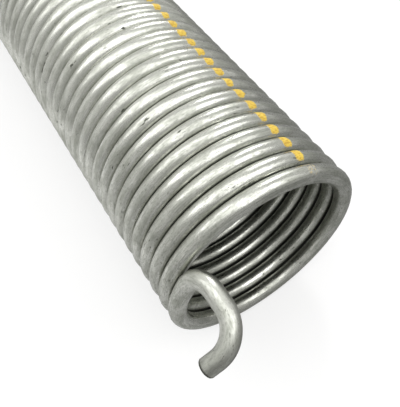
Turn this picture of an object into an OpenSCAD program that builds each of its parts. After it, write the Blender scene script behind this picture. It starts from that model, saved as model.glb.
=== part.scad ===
// Garage door torsion spring: a close-wound coil of round wire with a bent hook at one end.
// The spring lies on its side. The hook end faces -Y and +Z is up.
// The origin is on the coil's axis, midway along the coil.

/* [Coil] */
// Diameter of the round wire
wire_d = 4.88; // [4:0.02:6.5]
// Inside diameter of the coil
bore_d = 50.8; // [40:0.1:64]
// Number of full turns
turns = 80; // [20:1:96]
// Space between one turn and the next
turn_gap = 0.1; // [0.05:0.05:1]
// Winding direction, seen from either end
winding = "left"; // [left, right]

/* [Hook] */
// Where round the coil the hook starts, clockwise from the top as seen from the hook end
hook_clock = 302; // [0:1:359]
// Radius of the bend out of the coil, to the middle of the wire
lift_bend_r = 7.4; // [5:0.1:12]
// Length of the straight leg between the two bends
leg_len = 3.6; // [1:0.1:20]
// Radius of the bend at the end of the leg, to the middle of the wire
tip_bend_r = 7.6; // [5:0.1:12]
// Angle of the bend at the end of the leg
tip_bend_angle = 94; // [45:1:150]
// How far the tip leans outwards from the coil's side
tip_splay = 27; // [0:1:60]
// Length of the straight tip, up to its cut end
tip_len = 3.5; // [1:0.1:20]

/* [Hidden] */
$fn = 48;

// The wire is drawn as a chain of half turns. Every second link is thinner by a hair and runs
// a little way into the links beside it, so that the whole chain is one solid wire.
shoulder = 0.01;
lap = 0.4;

pitch = wire_d + turn_gap;
coil_r = (bore_d + wire_d) / 2;
half_turns = 2 * turns;
half_rise = pitch / 2;
coil_len = half_turns * half_rise;
// Each half turn is a half ring, tilted to climb half a pitch.
ring_tilt = atan(half_rise / 2 / coil_r);
ring_r = coil_r / cos(ring_tilt);

thin_d = wire_d - 2 * shoulder;

function lap_angle(r) = lap / r * 180 / PI;

// A thin arc of wire. It starts at the origin, heads along +Z and bends towards +X.
module bend(r, angle) {
    extra = lap_angle(r);
    translate([r, 0, 0])
        rotate([90, 0, 180])
            rotate([0, 0, -extra])
                rotate_extrude(angle = angle + 2 * extra)
                    translate([r, 0]) circle(d = thin_d);
}

// Places its children where such an arc ends, so that +Z runs on along the wire.
module after_bend(r, angle) {
    translate([r * (1 - cos(angle)), 0, r * sin(angle)])
        rotate([0, angle, 0]) children();
}

// Half turn number i, counted from the hook end. The coil climbs clockwise towards the hook.
module half_turn(i) {
    thin = i % 2 == 1;
    extra = thin ? lap_angle(ring_r) : 0;
    translate([0, 0, -(i + 0.5) * half_rise])
        rotate([0, 0, (i + 0.5) * 180])
            rotate([-ring_tilt, 0, 0])
                rotate([0, 0, -90 - extra])
                    rotate_extrude(angle = 180 + 2 * extra)
                        translate([ring_r, 0]) circle(d = thin ? thin_d : wire_d);
}

// Half turns number first to first + count - 1, joined in pairs.
module half_turn_run(first, count) {
    if (count == 1) {
        half_turn(first);
    } else {
        near = floor(count / 2);
        half_turn_run(first, near);
        half_turn_run(first + near, count - near);
    }
}

// The hook leaves the coil along its side, turns to run along the axis, and turns back
// beside itself to end in a short tip with a square cut end.
module hook() {
    translate([coil_r, 0, 0]) rotate([90, -90, 0]) {
        bend(lift_bend_r, 90);
        after_bend(lift_bend_r, 90) {
            cylinder(d = wire_d, h = leg_len);
            translate([0, 0, leg_len]) rotate([0, 0, -tip_splay]) {
                bend(tip_bend_r, tip_bend_angle);
                after_bend(tip_bend_r, tip_bend_angle) cylinder(d = wire_d, h = tip_len);
            }
        }
    }
}

module torsion_spring() {
    color("#a9aca5")
        mirror([winding == "right" ? 1 : 0, 0, 0])
            rotate([90, 0, 0])
                translate([0, 0, coil_len / 2])
                    rotate([0, 0, 90 - hook_clock]) {
                        half_turn_run(0, half_turns);
                        hook();
                    }
}

torsion_spring();
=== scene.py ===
"""Garage door torsion spring: the look of its galvanised wire, the floor it lies on, light and camera.

Names that end in mm are lengths in millimetres. Everything in Blender is in metres.
"""

import math

import bpy
import numpy as np
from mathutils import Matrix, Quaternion, Vector


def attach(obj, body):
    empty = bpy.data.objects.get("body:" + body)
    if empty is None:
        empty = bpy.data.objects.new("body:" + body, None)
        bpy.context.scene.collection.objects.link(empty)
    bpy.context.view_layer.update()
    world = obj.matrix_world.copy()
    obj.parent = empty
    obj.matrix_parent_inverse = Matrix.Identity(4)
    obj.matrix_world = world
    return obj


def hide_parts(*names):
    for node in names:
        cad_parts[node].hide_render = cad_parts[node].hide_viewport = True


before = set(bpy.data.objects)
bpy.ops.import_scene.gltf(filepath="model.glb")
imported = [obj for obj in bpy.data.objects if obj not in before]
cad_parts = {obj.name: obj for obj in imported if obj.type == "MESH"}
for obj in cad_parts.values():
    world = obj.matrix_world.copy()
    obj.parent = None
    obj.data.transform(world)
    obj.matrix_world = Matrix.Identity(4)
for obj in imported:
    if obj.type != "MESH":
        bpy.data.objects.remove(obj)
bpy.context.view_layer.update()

MM = 0.001

# The wire's own sizes, as the solid spring has them.
WIRE_D_MM = 4.88
BORE_D_MM = 50.8
TURNS = 80
TURN_GAP_MM = 0.1
HOOK_CLOCK = math.radians(302)
LIFT_BEND_R_MM = 7.4
LEG_LEN_MM = 3.6
TIP_BEND_R_MM = 7.6
TIP_BEND_ANGLE = math.radians(94)
TIP_SPLAY = math.radians(27)
TIP_LEN_MM = 3.5

WIRE_R_MM = WIRE_D_MM / 2
COIL_R_MM = (BORE_D_MM + WIRE_D_MM) / 2
PITCH_MM = WIRE_D_MM + TURN_GAP_MM
COIL_LEN_MM = TURNS * PITCH_MM

# How finely the wire is drawn.
RINGS_PER_TURN = 66
SIDES = 18
HOOK_STEP_MM = 0.6
# The shears leave a small round on the rim of each cut end.
RIM_ROUND_MM = 0.3
# Faces that meet at more than this angle show a hard edge.
HARD_EDGE = math.radians(50)

# How far the drawn wire runs in one turn, in the coil, in the hook, and from the plain end to the hook's cut.
TURN_RUN_MM = math.hypot(2 * COIL_R_MM * RINGS_PER_TURN * math.sin(math.pi / RINGS_PER_TURN), PITCH_MM)
COIL_RUN_MM = TURNS * TURN_RUN_MM
HOOK_RUN_MM = LIFT_BEND_R_MM * math.pi / 2 + LEG_LEN_MM + TIP_BEND_R_MM * TIP_BEND_ANGLE + TIP_LEN_MM
CUT_RUN_MM = COIL_RUN_MM + HOOK_RUN_MM

# The zinc is most weathered at the hook end, and it evens out over this length of coil.
WEATHERED_MM = 70
# The first bend grows dull over this length of wire.
DULLING_MM = 4
# Where grime from hands and the painted shade on the tip's flank start, and where they are full, back from
# the cut; and the same for the dark lip of the cut.
GRIME_AND_SHADE_START_MM, GRIME_AND_SHADE_FULL_MM = 12, 4
LIP_START_MM, LIP_FULL_MM = 0.8, 0.4
# The side of the tip that is darkened with painted shade, as an angle from the wire's outward side.
SHADED_TIP_FLANK = math.radians(132)

# A row of paint dashes runs along the coil, one on the crest of each turn.
DASH_CLOCK = math.radians(29.4)
DASH_WIDTH_MM = 2.5
# Around the wire, the crest is 0 and the side towards the plain end is positive.
DASH_FROM, DASH_TO = math.radians(-48), math.radians(54)
# How far a dash may stand off the row, how ragged its outline is, and the number of turns at the hook end
# where the paint is nearly worn away.
DASH_WANDER_MM = 0.8
DASH_RAGGED = 0.8
WORN_PAINT_TURNS = 1.3


def clock_direction(clock):
    """Outwards from the axis, at an angle clockwise from the top as seen from the hook end."""
    return np.array([math.sin(clock), 0.0, math.cos(clock)])


def coil_stations():
    """The middle of the wire from the coil's plain end to the hook, with its heading and outward side."""
    count = TURNS * RINGS_PER_TURN
    back = np.arange(count, 0, -1) / RINGS_PER_TURN
    clock = HOOK_CLOCK - 2 * math.pi * back
    outward = np.stack([np.sin(clock), np.zeros(count), np.cos(clock)], 1)
    middle = COIL_R_MM * outward
    middle[:, 1] = -COIL_LEN_MM / 2 + back * PITCH_MM
    climb = -PITCH_MM / (2 * math.pi * COIL_R_MM)
    heading = np.stack([np.cos(clock), np.full(count, climb), -np.sin(clock)], 1)
    heading /= np.linalg.norm(heading, axis=1)[:, None]
    return middle, heading, outward


def arc(start, heading, side, radius, angle):
    """Points and headings along an arc that leaves start along heading and bends towards side."""
    steps = max(2, round(radius * angle / HOOK_STEP_MM))
    points, headings = [], []
    for k in range(steps):
        a = angle * k / steps
        points.append(start + radius * (math.sin(a) * heading + (1 - math.cos(a)) * side))
        headings.append(math.cos(a) * heading + math.sin(a) * side)
    end = start + radius * (math.sin(angle) * heading + (1 - math.cos(angle)) * side)
    return points, headings, end, math.cos(angle) * heading + math.sin(angle) * side


def line(start, heading, length):
    """Points and headings along a straight stretch."""
    steps = max(2, round(length / HOOK_STEP_MM))
    points = [start + heading * length * k / steps for k in range(steps)]
    return points, [heading] * steps, start + heading * length


def hook_stations():
    """The middle of the wire along the hook, from the coil to the cut end, with its heading."""
    outward = clock_direction(HOOK_CLOCK)
    tangent = clock_direction(HOOK_CLOCK + math.pi / 2)
    along = np.array([0.0, -1.0, 0.0])
    joint = COIL_R_MM * outward + COIL_LEN_MM / 2 * along
    lift, lift_headings, at, _ = arc(joint, tangent, along, LIFT_BEND_R_MM, math.pi / 2)
    leg, leg_headings, at = line(at, along, LEG_LEN_MM)
    side = math.sin(TIP_SPLAY) * outward - math.cos(TIP_SPLAY) * tangent
    bend, bend_headings, at, heading = arc(at, along, side, TIP_BEND_R_MM, TIP_BEND_ANGLE)
    tip, tip_headings, at = line(at, heading, TIP_LEN_MM)
    points = lift + leg + bend + tip + [at]
    headings = lift_headings + leg_headings + bend_headings + tip_headings + [heading]
    return np.array(points), np.array(headings)


def carried_along(first, headings):
    """A side direction taken along a bent wire without twisting it."""
    sides = [first]
    for heading in headings[1:]:
        side = sides[-1] - heading * sides[-1].dot(heading)
        sides.append(side / np.linalg.norm(side))
    return np.array(sides)


def wire_mesh():
    """The whole wire as one tube, with its places along and around the wire kept for its finish."""
    coil_mid, coil_head, coil_out = coil_stations()
    hook_mid, hook_head = hook_stations()
    hook_out = carried_along(clock_direction(HOOK_CLOCK), hook_head)
    middle = np.concatenate([coil_mid, hook_mid])
    heading = np.concatenate([coil_head, hook_head])
    outward = np.concatenate([coil_out, hook_out])
    across = np.cross(outward, heading)
    across /= np.linalg.norm(across, axis=1)[:, None]
    travel = np.concatenate([[0], np.cumsum(np.linalg.norm(np.diff(middle, axis=0), axis=1))])

    # The rim's round takes three rings at each end: (how far back from the cut, how much thinner).
    slopes = (0, math.pi / 4, math.pi / 2)
    rim = [(RIM_ROUND_MM * (1 - math.sin(a)), RIM_ROUND_MM * (1 - math.cos(a))) for a in slopes]
    last = len(middle) - 1
    places = [(0, back, thin) for back, thin in reversed(rim)]
    places += [(k, 0.0, 0.0) for k in range(1, last)]
    places += [(last, -back, thin) for back, thin in rim]

    # Each point keeps its place in the wire, in mm outward, across and along it. The seam of the flat lay-out
    # lies on the side that faces the bore.
    turn = np.pi + 2 * np.pi * np.arange(SIDES) / SIDES
    verts, finish = [], []
    for k, onward, thin in places:
        radius, run = WIRE_R_MM - thin, travel[k] + onward
        ring = np.outer(np.cos(turn), outward[k]) + np.outer(np.sin(turn), across[k])
        verts.append(middle[k] + heading[k] * onward + radius * ring)
        finish.append(np.stack([radius * np.cos(turn), radius * np.sin(turn), np.full(SIDES, run)], 1))
    rings = len(places)
    verts.append(np.array([middle[0], middle[last]]))
    finish.append(np.array([[0, 0, travel[0]], [0, 0, travel[last]]]))
    verts = np.concatenate(verts) * MM
    finish = np.concatenate(finish)

    # Four-sided faces join the rings, and a fan of three-sided ones closes each cut end.
    i, j = np.meshgrid(np.arange(rings - 1), np.arange(SIDES), indexing="ij")
    i, j = i.ravel(), j.ravel()
    k = (j + 1) % SIDES
    quads = np.stack([i * SIDES + j, (i + 1) * SIDES + j, (i + 1) * SIDES + k, i * SIDES + k], 1)
    j = np.arange(SIDES)
    k = (j + 1) % SIDES
    first_fan = np.stack([np.full(SIDES, rings * SIDES), j, k], 1)
    rim_start = (rings - 1) * SIDES
    last_fan = np.stack([np.full(SIDES, rings * SIDES + 1), rim_start + k, rim_start + j], 1)

    mesh = bpy.data.meshes.new("wire")
    faces = [*quads.tolist(), *first_fan.tolist(), *last_fan.tolist()]
    mesh.from_pydata(verts.tolist(), [], faces, shade_flat=False)
    mesh.attributes.new("wire_mm", "FLOAT_VECTOR", "POINT").data.foreach_set("vector", finish.ravel())
    lay_out_flat(mesh, rings)
    material = np.zeros(len(faces), np.int32)
    material[len(quads):] = 1
    mesh.polygons.foreach_set("material_index", material)
    mesh.set_sharp_from_angle(angle=HARD_EDGE)
    mesh.validate()
    return mesh


def lay_out_flat(mesh, rings):
    """A flat lay-out of the wire's skin: equal strips one above the other, and a disc for each cut end."""
    # A row is this much higher than its strip, and a strip stays clear of the row below and of the lay-out's
    # left and right sides. The discs lie in the top row, to the right of the last strip.
    spacing, clear_below, clear_sides = 1.08, 0.02, 0.002
    disc_from_left, disc_radius = (0.90, 0.94), 0.4
    girth = 2 * math.pi * WIRE_R_MM
    length = TURNS * 2 * math.pi * COIL_R_MM
    rows = math.ceil(math.sqrt(length / (girth * spacing))) + 1
    per_row = math.ceil(rings / (rows - 0.5))
    i = np.repeat(np.arange(rings - 1), SIDES)
    j = np.tile(np.arange(SIDES), rings - 1)
    row = i // per_row
    left = (i % per_row) / per_row
    right = (i % per_row + 1) / per_row
    low = (row + (j / SIDES) / spacing + clear_below) / rows
    high = (row + ((j + 1) / SIDES) / spacing + clear_below) / rows
    uv = np.stack([left, low, right, low, right, high, left, high], 1).reshape(-1, 4, 2)
    uv[..., 0] = clear_sides + (1 - 2 * clear_sides) * uv[..., 0]
    angle = 2 * math.pi * np.arange(SIDES + 1) / SIDES
    discs = []
    for n, from_left in enumerate(disc_from_left):
        centre = np.array([from_left, (rows - 0.5) / rows])
        rim = centre + disc_radius / rows * np.stack([np.cos(angle), np.sin(angle)], 1)
        order = (rim[:-1], rim[1:]) if n == 0 else (rim[1:], rim[:-1])
        discs.append(np.stack([np.tile(centre, (SIDES, 1)), *order], 1))
    flat = np.concatenate([uv.reshape(-1, 2), *[d.reshape(-1, 2) for d in discs]])
    layer = mesh.uv_layers.new(name="OFBake")
    layer.uv.foreach_set("vector", flat.astype(np.float32).ravel())


# Materials

def linear(hex_colour):
    """An sRGB hex colour as linear red, green, blue and an alpha of 1."""
    parts = [int(hex_colour[k:k + 2], 16) / 255 for k in (1, 3, 5)]
    return (*[v / 12.92 if v <= 0.04045 else ((v + 0.055) / 1.055) ** 2.4 for v in parts], 1.0)


def new_material(name):
    """An empty node material, with its output node."""
    material = bpy.data.materials.new(name)
    material.use_nodes = True
    tree = material.node_tree
    tree.nodes.clear()
    return material, tree, tree.nodes.new("ShaderNodeOutputMaterial")


def add(tree, kind, settings=None, **inputs):
    """Adds a node. Settings are its own properties; inputs are values, or nodes and outputs to link.

    An input is named in lower case with underscores, or by its number after an underscore.
    """
    node = tree.nodes.new("ShaderNode" + kind)
    for key, value in (settings or {}).items():
        setattr(node, key, value)
    for key, value in inputs.items():
        if key[1:].isdigit():
            socket = node.inputs[int(key[1:])]
        else:
            named = (s for s in node.inputs if s.enabled and s.name.lower().replace(" ", "_") == key)
            socket = next(named)
        if isinstance(value, bpy.types.Node):
            value = value.outputs[0]
        if isinstance(value, bpy.types.NodeSocket):
            tree.links.new(value, socket)
        else:
            socket.default_value = value
    return node


def galvanised_wire():
    """Cold-drawn spring steel wire with a zinc coat. It is satin pale grey, with drawing lines that run along
    the wire, soft dull blotches where the zinc has aged, and a few dark nicks from handling."""
    material, tree, output = new_material("galvanised_wire")
    # The place in the spring, in metres, and the place in the wire, in mm outward, across and along it.
    spot = add(tree, "SeparateXYZ", _0=add(tree, "TexCoord").outputs["Object"]).outputs
    place = add(tree, "Attribute", {"attribute_name": "wire_mm"}).outputs["Vector"]
    wire = add(tree, "SeparateXYZ", _0=place).outputs

    # The size of each pattern's grains, in mm across the wire and along it, and how broken up they are. The
    # patterns are drawing lines, blotches, mottle, nicks and the patches that nicks lie in, and the paint's
    # wander, ragged edge and flecks. Real drawing lines are about 0.05 mm apart. These are coarser, so that
    # they show.
    grains = []
    for wide_mm, long_mm, detail, roughness in (
            (0.28, 9.0, 3.0, 0.6), (2.2, 7.0, 4.0, 0.62), (0.35, 0.9, 3.0, 0.7), (0.8, 2.2, 3.0, 0.5),
            (7.0, 11.0, 1.0, 0.5), (5.0, 5.0, 2.0, 0.5), (0.6, 0.6, 2.0, 0.5), (0.45, 0.45, 2.0, 0.5)):
        per_mm = (1 / wide_mm, 1 / wide_mm, 1 / long_mm)
        scaled = add(tree, "VectorMath", {"operation": "MULTIPLY"}, _0=place, _1=per_mm)
        noise = add(tree, "TexNoise", vector=scaled, scale=1.0, detail=detail, roughness=roughness)
        grains.append(noise)
    lines, blotches, mottle, nick_grain, nick_places, wander, ragged, flecks = grains

    # The zinc is most weathered at the hook end, and dulled where the wire was bent into the hook.
    weathered = add(tree, "MapRange", value=spot[1], from_min=-COIL_LEN_MM / 2 * MM,
                    from_max=(WEATHERED_MM - COIL_LEN_MM / 2) * MM, to_min=1.0, to_max=0.45)
    bent = add(tree, "MapRange", value=wire[2], from_min=COIL_RUN_MM, from_max=COIL_RUN_MM + DULLING_MM)
    grime_and_shade_reach = add(tree, "MapRange", value=wire[2], from_min=CUT_RUN_MM - GRIME_AND_SHADE_START_MM,
                  from_max=CUT_RUN_MM - GRIME_AND_SHADE_FULL_MM)

    # Bending smoothed most of the drawing lines away, and some of the mottle.
    marks = []
    for grain, low, high, most, smoothed in (
            (lines, 0.44, 0.68, 0.45, 0.75), (mottle, 0.50, 0.66, 0.62, 0.3)):
        shown = add(tree, "MapRange", value=grain, from_min=low, from_max=high, to_max=most)
        left = add(tree, "Math", {"operation": "MULTIPLY_ADD"}, _0=bent, _1=-smoothed, _2=weathered)
        marks.append(add(tree, "Math", {"operation": "MULTIPLY"}, _0=shown, _1=left))
    line_marks, mottle_marks = marks

    # The nicks lie in patches, with more of them where the zinc is weathered, and most on the hook.
    patches = add(tree, "Math", {"operation": "MULTIPLY_ADD"}, _0=weathered, _1=0.08, _2=nick_places)
    patches = add(tree, "Math", {"operation": "MULTIPLY_ADD"}, _0=bent, _1=0.06, _2=patches)
    patches = add(tree, "MapRange", value=patches, from_min=0.61, from_max=0.68)
    nicks = add(tree, "MapRange", value=nick_grain, from_min=0.63, from_max=0.69)
    nicks = add(tree, "Math", {"operation": "MULTIPLY"}, _0=nicks, _1=patches)

    # Painted shade darkens the wire where one turn touches the next, and reaches a little further on the
    # bore's side. The coil's first and last turns have it on one side only.
    inner = add(tree, "MapRange", value=wire[0], from_min=0.0, from_max=-0.4 * WIRE_R_MM,
                to_min=1.0, to_max=1.1)
    side = add(tree, "Math", {"operation": "MULTIPLY"}, _0=wire[1], _1=inner)
    shade_starts_mm, shade_full_mm = 0.88 * WIRE_R_MM, 0.985 * WIRE_R_MM
    groove_shades = []
    for way, start_mm, end_mm in ((-1, 0.0, COIL_RUN_MM - TURN_RUN_MM), (1, TURN_RUN_MM, COIL_RUN_MM)):
        close = add(tree, "MapRange", value=side, from_min=shade_starts_mm * way, from_max=shade_full_mm * way)
        paired = add(tree, "Math", {"operation": "COMPARE"}, _0=wire[2], _1=(start_mm + end_mm) / 2,
                     _2=(end_mm - start_mm) / 2)
        groove_shades.append(add(tree, "Math", {"operation": "MULTIPLY"}, _0=close, _1=paired))
    painted_groove_shade = add(tree, "Math", {"operation": "MAXIMUM"}, _0=groove_shades[0], _1=groove_shades[1])

    # Hands have left grime on the hook's tip. One flank of the tip is darkened with painted shade, and the
    # lip of the cut is dark.
    grime = add(tree, "MapRange", value=blotches, from_min=0.42, from_max=0.58, to_min=0.05, to_max=0.6)
    grime = add(tree, "Math", {"operation": "MULTIPLY"}, _0=grime, _1=grime_and_shade_reach)
    flank_shade = add(tree, "Math", {"operation": "MULTIPLY"}, _0=wire[0], _1=math.cos(SHADED_TIP_FLANK))
    flank_shade = add(tree, "Math", {"operation": "MULTIPLY_ADD"}, _0=wire[1], _1=math.sin(SHADED_TIP_FLANK), _2=flank_shade)
    flank_shade = add(tree, "MapRange", value=flank_shade, from_min=0.84 * WIRE_R_MM, from_max=0.97 * WIRE_R_MM)
    flank_shade = add(tree, "Math", {"operation": "MULTIPLY"}, _0=flank_shade, _1=grime_and_shade_reach)
    lip = add(tree, "MapRange", value=wire[2], from_min=CUT_RUN_MM - LIP_START_MM,
              from_max=CUT_RUN_MM - LIP_FULL_MM)
    lip_and_painted_shade = add(tree, "Math", {"operation": "MAXIMUM"}, _0=flank_shade, _1=lip)
    lip_and_painted_shade = add(tree, "Math", {"operation": "MAXIMUM"}, _0=lip_and_painted_shade, _1=painted_groove_shade)
    lip_and_painted_shade = add(tree, "Math", {"operation": "MULTIPLY"}, _0=lip_and_painted_shade, _1=0.85)

    # Aged zinc and bright zinc, then each mark's own grey over them. The darkest grey is painted shade in the
    # grooves and on the tip's flank, and the dark lip of the cut.
    spangle = add(tree, "MapRange", value=blotches, from_min=0.36, from_max=0.62)
    colour = add(tree, "MixRGB", fac=spangle, color1=linear("#B4B6AD"), color2=linear("#DEDFD8"))
    for share, tone in ((line_marks, "#85877E"), (mottle_marks, "#85877D"), (nicks, "#52544B"),
                        (grime, "#63655C"), (lip_and_painted_shade, "#3E4038")):
        colour = add(tree, "MixRGB", fac=share, color1=colour, color2=linear(tone))

    # Yellow marking paint, browner where it is thin.
    paint = paint_mask(tree, spot, wire, wander, ragged, flecks)
    thin = add(tree, "MapRange", value=mottle, from_min=0.46, from_max=0.62)
    yellow = add(tree, "MixRGB", fac=thin, color1=linear("#DEC04F"), color2=linear("#B78F32"))
    colour = add(tree, "MixRGB", fac=paint, color1=colour, color2=yellow)

    # Paint and the dirt in the nicks cover the metal.
    nick_dirt = add(tree, "Math", {"operation": "MULTIPLY"}, _0=nicks, _1=0.6)
    covered = add(tree, "Math", {"operation": "MAXIMUM"}, _0=paint, _1=nick_dirt)
    metal = add(tree, "Math", {"operation": "SUBTRACT"}, _0=1.0, _1=covered)

    # Aged zinc is rougher than bright zinc, and the mottle, the bends, the nicks, the shaded grooves and
    # paint are duller still.
    rough = add(tree, "MapRange", value=spangle, to_min=0.43, to_max=0.21)
    etched = add(tree, "MapRange", value=mottle, from_min=0.4, from_max=0.65, to_min=-0.03, to_max=0.08)
    matt = add(tree, "Math", {"operation": "MAXIMUM"}, _0=nicks, _1=painted_groove_shade)
    matt = add(tree, "Math", {"operation": "MAXIMUM"}, _0=matt, _1=paint)
    for part, more in ((etched, 1.0), (bent, 0.08), (matt, 0.2)):
        rough = add(tree, "Math", {"operation": "MULTIPLY_ADD"}, _0=part, _1=more, _2=rough)

    # How far the patterns stand proud of the wire, and how deep the nicks go.
    height_mm = 0.0
    for part, proud_mm in ((lines, 0.006), (mottle, 0.018), (nicks, -0.05), (paint, 0.03)):
        height_mm = add(tree, "Math", {"operation": "MULTIPLY_ADD"}, _0=part, _1=proud_mm, _2=height_mm)
    bump = add(tree, "Bump", strength=0.4, distance=MM, height=height_mm)

    shader = add(tree, "BsdfPrincipled", base_color=colour, metallic=metal, roughness=rough, normal=bump)
    tree.links.new(shader.outputs[0], output.inputs[0])
    return material


def paint_mask(tree, spot, wire, wander, ragged, flecks):
    """Where the row of paint dashes lies: 1 on the paint and 0 on bare zinc."""
    clock = add(tree, "Math", {"operation": "ARCTAN2"}, _0=spot[0], _1=spot[2])
    clock = add(tree, "Math", {"operation": "SUBTRACT"}, _0=clock, _1=DASH_CLOCK)
    wander_mm = add(tree, "Math", {"operation": "MULTIPLY_ADD"}, _0=wander, _1=2 * DASH_WANDER_MM,
                    _2=-DASH_WANDER_MM)
    off_line = add(tree, "Math", {"operation": "MULTIPLY_ADD"}, _0=clock, _1=COIL_R_MM + WIRE_R_MM,
                   _2=wander_mm)
    off_line = add(tree, "Math", {"operation": "ABSOLUTE"}, _0=off_line)
    around = add(tree, "Math", {"operation": "ARCTAN2"}, _0=wire[1], _1=wire[0])
    # The paint ran a little towards the hook side of the wire, so a dash is widest there.
    half_width = add(tree, "MapRange", value=around, from_min=DASH_FROM, from_max=DASH_TO,
                     to_min=0.6 * DASH_WIDTH_MM, to_max=0.4 * DASH_WIDTH_MM)
    off_middle = add(tree, "Math", {"operation": "SUBTRACT"}, _0=around, _1=(DASH_FROM + DASH_TO) / 2)
    off_middle = add(tree, "Math", {"operation": "ABSOLUTE"}, _0=off_middle)
    # A dash is an oblong with round corners and a ragged edge, which is where the reach from its middle is
    # about 1.
    reach = add(tree, "Math", {"operation": "MULTIPLY_ADD"}, _0=ragged, _1=2 * DASH_RAGGED, _2=-DASH_RAGGED)
    for off, half in ((off_line, half_width), (off_middle, (DASH_TO - DASH_FROM) / 2)):
        share = add(tree, "Math", {"operation": "DIVIDE"}, _0=off, _1=half)
        share = add(tree, "Math", {"operation": "POWER"}, _0=share, _1=3.0)
        reach = add(tree, "Math", {"operation": "ADD"}, _0=reach, _1=share)
    dash = add(tree, "MapRange", value=reach, from_min=1.25, from_max=0.85)
    # The dash on the last turn before the hook is nearly worn away, with only flecks of it left.
    last_dash = (WORN_PAINT_TURNS * PITCH_MM - COIL_LEN_MM / 2) * MM
    left = add(tree, "MapRange", value=flecks, from_min=0.52, from_max=0.60, to_max=0.45)
    whole = add(tree, "MapRange", value=spot[1], from_min=last_dash, from_max=last_dash + 0.2 * MM)
    whole = add(tree, "Math", {"operation": "MAXIMUM"}, _0=whole, _1=left)
    return add(tree, "Math", {"operation": "MULTIPLY"}, _0=dash, _1=whole)


def sheared_steel():
    """Bare spring steel where the wire was sheared: darker and duller than the zinc, with shear marks."""
    material, tree, output = new_material("sheared_steel")
    spot = add(tree, "TexCoord").outputs["Object"]
    mark_mm = 0.5
    marks = add(tree, "TexNoise", vector=spot, scale=1 / (mark_mm * MM), detail=3.0)
    colour = add(tree, "MixRGB", fac=marks, color1=linear("#6C6E68"), color2=linear("#9A9B95"))
    height_mm = add(tree, "Math", {"operation": "MULTIPLY"}, _0=marks, _1=0.1)
    bump = add(tree, "Bump", strength=0.5, distance=MM, height=height_mm)
    shader = add(tree, "BsdfPrincipled", base_color=colour, metallic=1.0, roughness=0.5, normal=bump)
    tree.links.new(shader.outputs[0], output.inputs[0])
    return material


def pale_floor():
    """A matt white sheet. The camera sees it as white, with the spring's faint shadow. The metal sees painted
    light and painted shade in the sheet's colour, with only a small part of that white."""
    material, tree, output = new_material("pale_floor")
    path = add(tree, "LightPath").outputs
    spot = add(tree, "SeparateXYZ", _0=add(tree, "TexCoord").outputs["Object"]).outputs
    # For all but camera rays, the sheet's colour paints light on the spring's left, less on the hook end and
    # less far out. Each row has the place along X or Y, in metres, where the painted light is least and where
    # it is full, and how much the least is.
    painted_light = 1.0
    for along, least_at, full_at, least, change in (
            (spot[0], 0.10, -0.10, 0.0, "SMOOTHSTEP"), (spot[1], -0.23, -0.13, 0.42, "SMOOTHSTEP"),
            (spot[0], -0.25, -0.05, 0.55, "LINEAR")):
        share = add(tree, "MapRange", {"interpolation_type": change}, value=along, from_min=least_at,
                    from_max=full_at, to_min=least)
        painted_light = add(tree, "Math", {"operation": "MULTIPLY"}, _0=share, _1=painted_light)
    # The sheet's colour runs from painted shade to painted light.
    shade = add(tree, "MixRGB", fac=painted_light, color1=linear("#7C7C7C"), color2=linear("#E0E0E0"))
    colour = add(tree, "MixRGB", fac=path["Is Camera Ray"], color1=shade, color2=linear("#FAFAFA"))
    sheet = add(tree, "BsdfDiffuse", color=colour)
    white = add(tree, "Emission", color=(1, 1, 1, 1), strength=1.0)
    white_to_camera, white_to_metal = 0.62, 0.05
    mirrored = add(tree, "Math", {"operation": "MAXIMUM"}, _0=path["Is Glossy Ray"],
                   _1=path["Is Transmission Ray"])
    seen = add(tree, "Math", {"operation": "MULTIPLY"}, _0=mirrored, _1=white_to_metal)
    seen = add(tree, "Math", {"operation": "MULTIPLY_ADD"}, _0=path["Is Camera Ray"], _1=white_to_camera,
               _2=seen)
    shader = add(tree, "MixShader", _0=seen, _1=sheet, _2=white)
    tree.links.new(shader.outputs[0], output.inputs[0])
    return material


# The spring

spring = bpy.data.objects.new("spring_wire", wire_mesh())
bpy.context.scene.collection.objects.link(spring)
spring.data.materials.append(galvanised_wire())
spring.data.materials.append(sheared_steel())
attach(spring, "root")
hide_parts("torsion_spring")


# The floor, on which the coil lies

FLOOR_GAP_MM = 0.1
FLOOR_SIDE_M = 8
floor_z = -(COIL_R_MM + WIRE_R_MM + FLOOR_GAP_MM) * MM
half = FLOOR_SIDE_M / 2
corners = [(-half, -half, floor_z), (half, -half, floor_z), (half, half, floor_z), (-half, half, floor_z)]
floor_mesh = bpy.data.meshes.new("floor")
floor_mesh.from_pydata(corners, [], [(0, 1, 2, 3)])
floor_mesh.materials.append(pale_floor())
floor = bpy.data.objects.new("floor", floor_mesh)
bpy.context.scene.collection.objects.link(floor)


# Light

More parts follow.
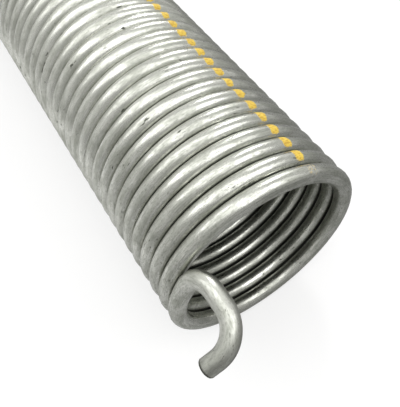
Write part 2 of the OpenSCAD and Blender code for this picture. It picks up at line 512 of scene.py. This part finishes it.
def softbox(name, place, target, width, length, power, turn=0):
    """An oblong lamp at a place, facing a target, in metres and watts. Its length runs towards +Y, and turn
    swings it about the line to the target, in degrees."""
    lamp = bpy.data.lights.new(name, "AREA")
    lamp.shape = "RECTANGLE"
    lamp.size, lamp.size_y, lamp.energy = width, length, power
    holder = bpy.data.objects.new(name, lamp)
    holder.location = place
    facing = (Vector(place) - Vector(target)).to_track_quat("Z", "Y")
    holder.rotation_euler = (facing @ Quaternion((0, 0, 1), math.radians(turn))).to_euler()
    holder.visible_camera = False
    bpy.context.scene.collection.objects.link(holder)


# A long softbox hangs over the coil's left side, and a small lamp stands far off on its right. A faint one
# near the hook end shines into the bore.
softbox("overhead_softbox", (-0.2, -0.1, 0.72), (-0.2, -0.1, 0), width=0.7, length=2.2, power=6.4, turn=30)
softbox("side_lamp", (0.51, 0.42, 0.48), (0, -0.15, 0), width=0.16, length=0.24, power=2.4)
softbox("front_lamp", (0.19, -0.33, 0.27), (0, -0.2, 0), width=0.2, length=0.2, power=0.2)

# The studio's walls. The camera sees them near white, and the spring sees them brightest beyond its plain end
# and dimmest beyond its hook end.
DIM_WALL, BRIGHT_WALL = 0.50, 0.98
world = bpy.data.worlds.new("studio")
world.use_nodes = True
walls = world.node_tree
path = add(walls, "LightPath").outputs
direction = add(walls, "SeparateXYZ", _0=add(walls, "TexCoord").outputs["Generated"]).outputs
strength = add(walls, "MapRange", value=direction[1], from_min=-1.0, from_max=1.0, to_min=DIM_WALL,
               to_max=BRIGHT_WALL)
strength = add(walls, "Math", {"operation": "MAXIMUM"}, _0=strength, _1=path["Is Camera Ray"])
walls.nodes["Background"].inputs[0].default_value = linear("#F2F2F0")
walls.links.new(strength.outputs[0], walls.nodes["Background"].inputs[1])
bpy.context.scene.world = world
bpy.context.scene.view_settings.view_transform = "Standard"


# Camera, above the hook end

camera = bpy.data.cameras.new("camera")
camera.sensor_width = 36.0
camera.lens = 42.63
camera.clip_start = 0.01
camera.clip_end = 50.0
viewer = bpy.data.objects.new("camera", camera)
viewer.location = (-0.0324, -0.2413, 0.1208)
viewer.rotation_euler = [math.radians(a) for a in (30.412, 6.218, -31.997)]
bpy.context.scene.collection.objects.link(viewer)
bpy.context.scene.camera = viewer
